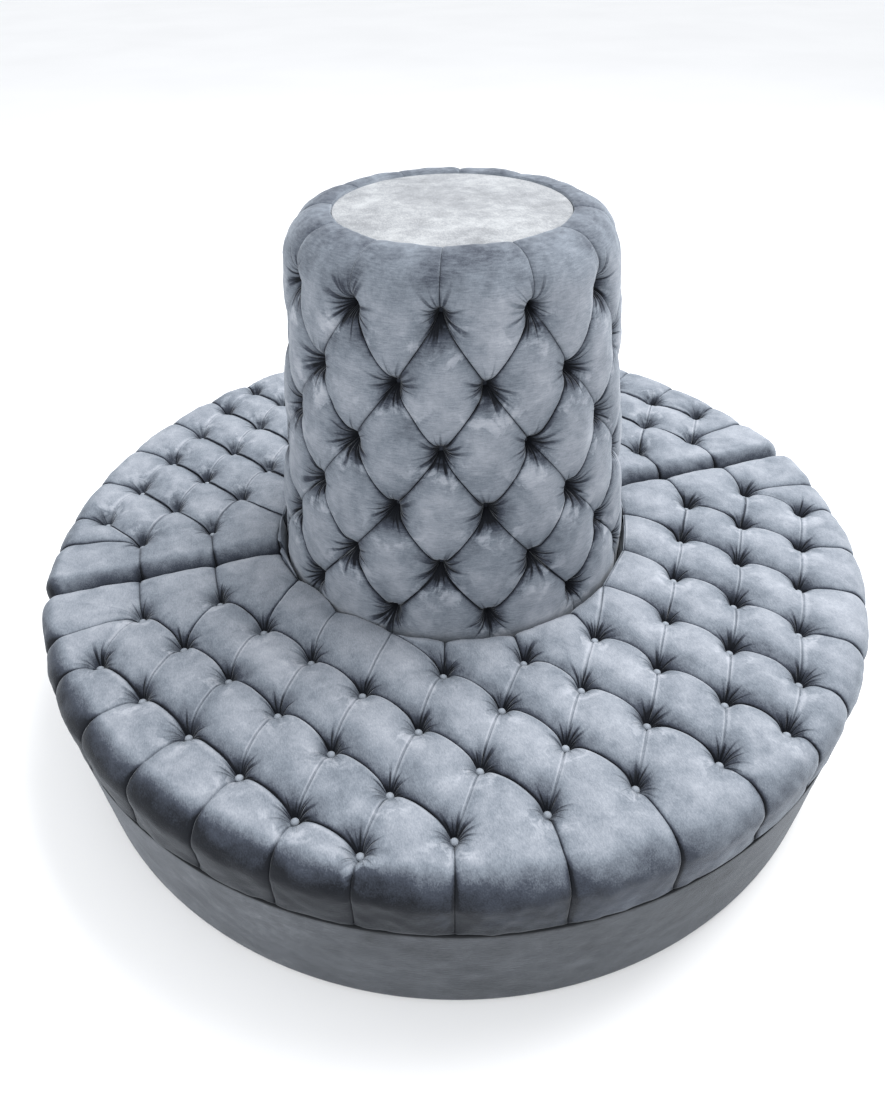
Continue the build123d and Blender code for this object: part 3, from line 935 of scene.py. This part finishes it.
cover_radius = 999 * mm
skin_radius = 971.4 * mm
flange_radius = 935 * mm
flange_low, flange_high = 0.05 * mm, 0.3 * mm
cover_top_roll = 3.5 * mm
cover_foot_roll = 6 * mm
cover_columns = 481
cover_roll_points = 7
cover_side_points = 34
cover_waves = ((0.8 * mm, 180 * mm), (0.35 * mm, 50 * mm))


def plinth_cover(name, turned, seed):
    """A padded band from under the cushion to the foot, flush with the cushion's side."""
    low, high = [corner[2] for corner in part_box("front_plinth_cover")]
    end = split_gap / 2 / cover_radius
    around = np.linspace(pi + end, 2 * pi - end, cover_columns)
    turn = np.linspace(0, pi / 2, cover_roll_points)
    side = np.linspace(low + cover_foot_roll, high - cover_top_roll, cover_side_points)[1:-1]
    profile = [
        (cover_radius - cover_foot_roll * (1 - sin(t)), low + cover_foot_roll * (1 - cos(t))) for t in turn
    ]
    profile += [(cover_radius, height) for height in side]
    profile += [
        (cover_radius - cover_top_roll * (1 - cos(t)), high - cover_top_roll * (1 - sin(t))) for t in turn
    ]
    profile += [(flange_radius, high + flange_high), (flange_radius, high + flange_low)]
    profile += [(skin_radius, high + flange_low), (skin_radius, low)]
    radius, height = [np.repeat(values[:, None], len(around), 1) for values in np.array(profile).T]
    angle = np.repeat(around[None], len(profile), 0)
    slack = ripple(around_axis(angle, cover_radius, height), cover_waves, seed)
    radius = radius + slack * hump((height - low) / (high - low)) * (radius > skin_radius)
    data = new_mesh(name, around_axis(angle, radius, height), grid_faces(*angle.shape, closed=True))
    # Painted shade in the crease along the top, under the cushion's edge
    write_painted_shade(data, crease_shade * np.clip((height - high) / crease_width + 1, 0, 1) ** 2)
    form = form_of(data)
    bmesh.ops.holes_fill(form, edges=rims_of(form), sides=0)
    split_wide(form)
    piece = finish_mesh(form, data, name, flat_ends=True)
    if turned:
        data.transform(Matrix.Rotation(pi, 4, "Z"))
    return piece


# Top panel: plain velvet over a thin pad

panel_roll = 2.5 * mm
panel_dome = 4 * mm
panel_rings = 41
panel_roll_steps = 8
panel_columns = 241
panel_waves = ((0.5 * mm, 60 * mm),)
panel_weld = 0.02 * mm
board_clearance = 0.3 * mm


def top_panel(name, seed):
    """A padded disc, very slightly domed, with its velvet drawn down over the edge."""
    low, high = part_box("top_panel_cover")
    board_low, board_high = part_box("top_panel_board")
    radius = (high[0] - low[0]) / 2
    board_radius = (board_high[0] - board_low[0]) / 2 + board_clearance
    board_top = board_high[2] + board_clearance
    flat_radius = radius - panel_roll
    flat_shares = np.linspace(0, 1, panel_rings)
    profile = [(flat_radius * share, high[2] + panel_dome * (1 - share**2)) for share in flat_shares]
    edge_height = profile[-1][1]
    for turn in even_steps(panel_roll_steps) * pi / 2:
        profile.append((radius - panel_roll * (1 - sin(turn)), edge_height - panel_roll * (1 - cos(turn))))
    profile += [(radius, low[2]), (board_radius, low[2]), (board_radius, board_top), (0, board_top)]
    angle = np.linspace(0, 2 * pi, panel_columns)
    points = np.array([around_axis(angle, reach, np.full_like(angle, height)) for reach, height in profile])
    points[:panel_rings, :, 2] += ripple(points, panel_waves, seed)[:panel_rings]
    data = new_mesh(name, points, grid_faces(*points.shape[:2]))
    form = form_of(data)
    bmesh.ops.remove_doubles(form, verts=form.verts, dist=panel_weld)
    bmesh.ops.dissolve_degenerate(form, dist=sliver, edges=form.edges)
    return finish_mesh(form, data, name)


# Materials


def add_node(tree, kind, settings=None, links=None):
    """Adds a node with its own values, input values or ramp stops. A link comes from one output,
    or from the first output of a node."""
    node = tree.nodes.new("ShaderNode" + kind)
    for name, value in (settings or {}).items():
        if name == "stops":
            elements = node.color_ramp.elements
            while len(elements) < len(value):
                elements.new(0.5)
            for element, (position, colour) in zip(elements, value):
                element.position = position
                element.color = srgb(colour)
        elif isinstance(name, str) and hasattr(node, name):
            setattr(node, name, value)
        else:
            node.inputs[name].default_value = value
    for name, source in (links or {}).items():
        tree.links.new(getattr(source, "outputs", [source])[0], node.inputs[name])
    return node


def new_material(name, values):
    """A material with its output, and its shader with the values that are the same all over."""
    material = bpy.data.materials.new(name)
    material.use_nodes = True
    tree = material.node_tree
    tree.nodes.clear()
    shader = add_node(tree, "BsdfPrincipled", values)
    add_node(tree, "OutputMaterial", None, {0: shader})
    return material, tree, shader


# Folds at a button: how many fit round it, how they drift and taper, and where they end. A range
# has the numbers of a map range's inputs: 1 and 2 for what goes in, 3 and 4 for what comes out.
fold_ring_size = 4.2
fold_drift = 5.0
fold_taper = 0.19
fold_edges = {1: 0.42, 2: 0.58}
fold_end_share = 0.2
fold_clear_from, fold_clear_to = 5 * mm, 26 * mm
# Painted shade falls on the folds towards the shaded side, painted highlight in broken patches towards the
# lit side
shaded_range = {1: -0.8, 2: 1.0, 3: 0.15, 4: 1.1}
highlight_edges = {1: 0.48, 2: 0.62}
highlights_per_reach = 1.6
highlight_start_share, highlight_full_share = 1.5, 0.6
lit_range = {1: -0.1, 2: 0.8}


def gathers(tree, place, shaded_side, lit_side, reach):
    """Folds that fan out from each button: noise read on a ring, so it runs straight outwards. Gives the
    painted shade of the folds, painted highlight in patches on the lit side, and the folds' relief.
    """
    smooth = {"interpolation_type": "SMOOTHSTEP"}
    times = {"operation": "MULTIPLY"}
    offset = add_node(tree, "UVMap", {"uv_map": "tuft"})
    number = add_node(tree, "UVMap", {"uv_map": "tuft_number"})
    distance = add_node(tree, "VectorMath", {"operation": "LENGTH"}, {0: offset}).outputs["Value"]
    ring = add_node(tree, "VectorMath", {"operation": "NORMALIZE"}, {0: offset})
    wide = add_node(tree, "VectorMath", {"operation": "SCALE", "Scale": fold_ring_size}, {0: ring})
    first = add_node(tree, "SeparateXYZ", None, {0: number})
    drifting = {"operation": "MULTIPLY_ADD", 1: fold_drift}
    drift = add_node(tree, "Math", drifting, {0: distance, 2: first})
    lift = add_node(tree, "CombineXYZ", None, {2: drift})
    where = add_node(tree, "VectorMath", {"operation": "ADD"}, {0: wide, 1: lift})
    folds = add_node(tree, "TexNoise", {"Scale": 1.0, "Detail": 1.0, "Roughness": 0.4}, {"Vector": where})
    narrowing = {"operation": "MULTIPLY_ADD", 1: -fold_taper / reach}
    taper = add_node(tree, "Math", narrowing, {0: distance, 2: folds})
    lines = add_node(tree, "MapRange", {**smooth, **fold_edges}, {0: taper})
    fade, clear, zone = [
        add_node(tree, "MapRange", {**smooth, 1: start, 2: end}, {0: distance})
        for start, end in (
            (reach, fold_end_share * reach),
            (fold_clear_from, fold_clear_to),
            (highlight_start_share * reach, highlight_full_share * reach),
        )
    ]
    behind, before = [
        add_node(tree, "VectorMath", {"operation": "DOT_PRODUCT", 1: side}, {0: ring}).outputs["Value"]
        for side in (shaded_side, lit_side)
    ]
    dark = add_node(tree, "Math", times, {0: lines, 1: fade})
    raised = add_node(tree, "Math", times, {0: dark, 1: clear})
    behind = add_node(tree, "MapRange", shaded_range, {0: behind})
    shaded = add_node(tree, "Math", times, {0: dark, 1: behind})
    highlight_noise = {"Scale": highlights_per_reach / reach, "Detail": 6.0, "Roughness": 0.62, "Distortion": 0.5}
    highlights = add_node(tree, "TexNoise", highlight_noise, {"Vector": place})
    highlights = add_node(tree, "MapRange", {**smooth, **highlight_edges}, {0: highlights})
    before = add_node(tree, "MapRange", lit_range, {0: before})
    bright = add_node(tree, "Math", times, {0: highlights, 1: before})
    lit = add_node(tree, "Math", times, {0: bright, 1: zone})
    return shaded, lit, raised


# Velvet: its weights are for brushed areas, patches, strokes, pile and the painted side light, which makes
# faces paler as they turn towards a set direction
velvet_shine = {
    "Roughness": 0.8, "Specular IOR Level": 0.15, "Sheen Weight": 0.3, "Sheen Roughness": 0.35,
    "Sheen Tint": srgb("#dfe6ee"),
}
# How much paler the painted side light can make a face
painted_pale_way_limit = 0.17
brushed_size = 240 * mm
velvet_weights = (0.34, 0.50, 0.30, 0.14, 1.0)
thread_turn = (0.1, 0.1, 0.3)
pile_size = 2.4 * mm
pile_relief_share = 0.12
pile_height, fold_height = 1.5 * mm, 3.5 * mm

# Brush strokes to the metre along X, Y and Z, on level and on upright velvet
flat_threads = (420, 150, 420)
round_threads = (60, 60, 420)


def velvet(name, stops, level, painted_pale_way, threads=flat_threads, patch_size=60 * mm, painted_shade_contrast=0.0,
           fold_contrast=0.0, highlight_contrast=0.0, sides=None):
    """Crushed polyester velvet: cut pile about 1.5 mm long, with uneven patches where hands have brushed it.
    Its colour carries painted light: paler on faces turned towards a set direction and darker on those
    turned away, and, where asked, painted shade in the tufts and folds and painted highlights by the
    buttons."""
    material, tree, shader = new_material(name, velvet_shine)
    place = add_node(tree, "TexCoord").outputs["Object"]
    drawn = add_node(tree, "Mapping", {"Scale": threads, "Rotation": thread_turn}, {0: place})
    patches, brushed, strokes, pile = [
        add_node(tree, "TexNoise", noise, {"Vector": where})
        for noise, where in (
            ({"Scale": 1 / patch_size, "Detail": 8.0, "Roughness": 0.7, "Distortion": 0.3}, place),
            ({"Scale": 1 / brushed_size, "Detail": 3.0, "Distortion": 0.8}, place),
            ({"Scale": 1.0, "Detail": 4.0, "Roughness": 0.6}, drawn),
            ({"Scale": 1 / pile_size, "Detail": 2.0}, place),
        )
    ]
    # Painted side light: faces turned towards the set direction are painted paler, up to a limit, and those
    # turned away darker
    facing = add_node(tree, "NewGeometry").outputs["Normal"]
    lean = add_node(tree, "VectorMath", {"operation": "DOT_PRODUCT", 1: painted_pale_way}, {0: facing}).outputs["Value"]
    lean = add_node(tree, "Math", {"operation": "MINIMUM", 1: painted_pale_way_limit}, {0: lean})
    parts = list(zip((brushed, patches, strokes, pile, lean), velvet_weights))
    if painted_shade_contrast:
        # Painted shade read from the mesh: deep in the tufts, along the folds and in the creases
        sink = add_node(tree, "Attribute", {"attribute_name": "sink"}).outputs["Fac"]
        parts.append((sink, -painted_shade_contrast))
    if sides:
        shaded, lit, raised = gathers(tree, place, *sides)
        # Painted shade along the folds and painted highlight beside the buttons
        parts += [(shaded, -fold_contrast), (lit, highlight_contrast)]
    links = {}
    for value, weight in parts:
        links[0] = value
        tone = add_node(tree, "Math", {"operation": "MULTIPLY_ADD", 1: weight, 2: level}, links)
        links[2] = tone
    colour = add_node(tree, "ValToRGB", {"stops": stops}, {0: tone})
    tree.links.new(colour.outputs[0], shader.inputs["Base Color"])
    mixing = {"operation": "MULTIPLY_ADD", 1: pile_relief_share}
    relief = add_node(tree, "Math", mixing, {0: pile, 2: strokes})
    bump = add_node(tree, "Bump", {"Strength": 0.5, "Distance": pile_height}, {"Height": relief})
    if sides:
        pressed = {"Strength": 0.8, "Distance": fold_height, "invert": True}
        bump = add_node(tree, "Bump", pressed, {"Height": raised, "Normal": bump})
    tree.links.new(bump.outputs[0], shader.inputs["Normal"])
    return material


def rigid_finish(name, kind, pattern, stops, values, stretch=(1, 1, 1), relief=None):
    """A hard material, whose one pattern gives its colour and, if asked, its fine relief."""
    material, tree, shader = new_material(name, values)
    place = add_node(tree, "TexCoord").outputs["Object"]
    spread = add_node(tree, "Mapping", {"Scale": stretch}, {0: place})
    grain = add_node(tree, kind, pattern, {"Vector": spread})
    colour = add_node(tree, "ValToRGB", {"stops": stops}, {0: grain})
    tree.links.new(colour.outputs[0], shader.inputs["Base Color"])
    if relief:
        bump = add_node(tree, "Bump", relief, {"Height": grain})
        tree.links.new(bump.outputs[0], shader.inputs["Normal"])
    return material


def plywood(name):
    """Birch plywood: rotary-cut veneer, so wide soft grain on its faces and thin layers on its edges."""
    veneer = [(0.3, "#b98f5f"), (0.55, "#d3b081"), (0.75, "#e2c79c")]
    grain = {"Scale": 1.5, "Detail": 5.0, "Distortion": 1.2}
    grain_stretch = (4, 30, 60)
    relief = {"Strength": 0.2, "Distance": 0.4 * mm}
    return rigid_finish(name, "TexNoise", grain, veneer, {"Roughness": 0.6}, grain_stretch, relief)


def zinc_steel(name):
    """Zinc-plated steel: a dull bluish silver with a fine crystal mottling."""
    silver = [(0.0, "#a9afb3"), (0.8, "#c7ccd0")]
    crystals = {"Scale": 1 / (3 * mm)}
    return rigid_finish(name, "TexVoronoi", crystals, silver, {"Metallic": 1.0, "Roughness": 0.42})


def moulded_plastic(name):
    """Moulded black polyethylene: matt with a fine grain and scuffs from the floor."""
    black = [(0.3, "#1b1c1d"), (0.7, "#2b2c2e")]
    grain = {"Scale": 1 / (1.5 * mm), "Detail": 3.0}
    relief = {"Strength": 0.3, "Distance": 0.1 * mm}
    return rigid_finish(name, "TexNoise", grain, black, {"Roughness": 0.55}, relief=relief)


def floor_paint(name):
    """Matt white floor paint: almost even, with a faint cloudiness."""
    white = [(0.3, "#f6f6f6"), (0.7, "#fafafa")]
    return rigid_finish(name, "TexNoise", {"Scale": 0.6, "Detail": 2.0}, white, {"Roughness": 0.9})


def clothe(piece, material):
    """Gives a piece one material all over."""
    piece.data.materials.clear()
    piece.data.materials.append(material)


blue_grey = [(0.08, "#12151b"), (0.34, "#393e48"), (0.58, "#6f767f"), (0.90, "#a1a5ad")]
dull_grey = [(0.10, "#1d1f22"), (0.42, "#45484d"), (0.74, "#7d8085")]
pale_grey = [(0.32, "#616366"), (0.50, "#808285"), (0.66, "#a0a2a4")]
button_grey = [(0.20, "#4a515b"), (0.80, "#969da6")]
# Painted side light of the buttons: their tops a little paler
button_painted_pale_way = (0, 0, 0.1)
button_patch_size = 30 * mm

# Which way from a button its shaded and its lit folds lie, and how far they reach
seat_sides = ((0.5, 0.86, 0), (-0.5, -0.86, 0), 58 * mm)
column_sides = ((0.0, -0.3, 0), (0.0, -1.0, 0), 76 * mm)

seat_velvet = velvet(
    "seat_velvet", blue_grey, level=-0.10, painted_pale_way=(0.22, 0.165, 0.15), painted_shade_contrast=0.36,
    fold_contrast=0.33, highlight_contrast=0.18, sides=seat_sides)
column_velvet = velvet(
    "column_velvet", blue_grey, level=0.10, painted_pale_way=(0.05, 0.0, -0.28), threads=round_threads,
    painted_shade_contrast=0.84, fold_contrast=0.58, highlight_contrast=0.26, sides=column_sides)
seat_button_velvet = velvet(
    "seat_button_velvet", button_grey, level=0.0, painted_pale_way=button_painted_pale_way, patch_size=button_patch_size)
# Painted shade: the column's buttons, deep in their holes, get the column's velvet made much darker
shaded_column_button_velvet = velvet(
    "shaded_column_button_velvet", blue_grey, level=-0.40, painted_pale_way=button_painted_pale_way, patch_size=button_patch_size)
plinth_velvet = velvet(
    "plinth_velvet", dull_grey, level=-0.34, painted_pale_way=(-0.14, 0.0, 0.0), threads=round_threads, painted_shade_contrast=0.6)
panel_velvet = velvet("panel_velvet", pale_grey, level=-0.10, painted_pale_way=(0, 0, 0), patch_size=34 * mm)
birch_plywood = plywood("birch_plywood")
plated_steel = zinc_steel("zinc_plated_steel")
black_plastic = moulded_plastic("moulded_black_plastic")

# Pieces

for side, turned, seed in (("front", False, 11), ("rear", True, 47)):
    cushion = seat_cushion(f"{side}_tufted_seat", turned, seed)
    clothe(cushion, seat_velvet)
    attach(cushion, "root")
    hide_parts(f"{side}_seat_cushion")
    buttons = seat_buttons(f"{side}_covered_buttons", turned, seed)
    clothe(buttons, seat_button_velvet)
    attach(buttons, "root")
    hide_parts(f"{side}_seat_buttons")
    band = plinth_cover(f"{side}_plinth_velvet", turned, seed)
    clothe(band, plinth_velvet)
    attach(band, "root")
    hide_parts(f"{side}_plinth_cover")

column = column_cushion("tufted_column", seed=23)
clothe(column, column_velvet)
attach(column, "root")
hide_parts("column_cushion")

domes = column_buttons("column_covered_buttons", seed=29)
clothe(domes, shaded_column_button_velvet)
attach(domes, "root")
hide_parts("column_buttons")

panel = top_panel("padded_top_panel", seed=31)
clothe(panel, panel_velvet)
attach(panel, "root")
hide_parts("top_panel_cover")

for name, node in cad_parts.items():
    if "glides" in name:
        clothe(node, black_plastic)
    elif name in ("link_bolts", "link_nuts", "tie_plates"):
        clothe(node, plated_steel)
    else:
        clothe(node, birch_plywood)

# Floor, light and camera


def plain_floor():
    """A wide matt pale floor."""
    deselect()
    bpy.ops.mesh.primitive_plane_add(size=floor_size)
    floor = bpy.context.object
    floor.name = "floor"
    clothe(floor, floor_paint("matt_white_floor"))


def area_light(name, place, size, power):
    """A soft square light that points at the sofa."""
    lamp = bpy.data.lights.new(name, "AREA")
    lamp.size = size
    lamp.energy = power
    light = link_object(name, lamp)
    light.location = place
    light.rotation_euler = (Vector(light_aim) - Vector(place)).to_track_quat("-Z", "Y").to_euler()


def photo_camera():
    """The photograph's view, from its fitted place, pitch, pan and roll and the sofa's turn."""
    place = Vector((-0.457, -1.484, 1.636))
    pitch, pan, roll, turn = radians(40.56), radians(-1.02), radians(-0.83), radians(17.1)
    focal_pixels, long_side, sensor_width = 760.3, 1100, 36
    forward = Vector((sin(pan) * cos(pitch), cos(pan) * cos(pitch), -sin(pitch)))
    right = Vector((cos(pan), -sin(pan), 0))
    up = right.cross(forward)
    level_right = cos(roll) * right + sin(roll) * up
    level_up = -sin(roll) * right + cos(roll) * up
    to_sofa = Matrix.Rotation(-turn, 3, "Z")
    axes = [to_sofa @ axis for axis in (level_right, level_up, -forward)]
    lens = bpy.data.cameras.new("camera")
    lens.sensor_width = sensor_width
    lens.lens = focal_pixels / long_side * sensor_width
    camera = link_object("camera", lens)
    pose = Matrix(axes).transposed().to_4x4()
    pose.translation = place
    camera.matrix_world = pose
    bpy.context.scene.camera = camera


floor_size = 400
light_aim = (0, 0, 0.4)
plain_floor()
area_light("key_light", place=(1.9, 0.8, 4.7), size=2.6, power=300)
area_light("fill_light", place=(-2.8, -2.6, 3.0), size=3.0, power=60)
world = bpy.data.worlds.new("studio")
world.use_nodes = True
background = world.node_tree.nodes["Background"]
background.inputs["Color"].default_value = srgb("#f4f6f9")
background.inputs["Strength"].default_value = 1.08
bpy.context.scene.world = world
bpy.context.scene.view_settings.view_transform = "Standard"
photo_camera()
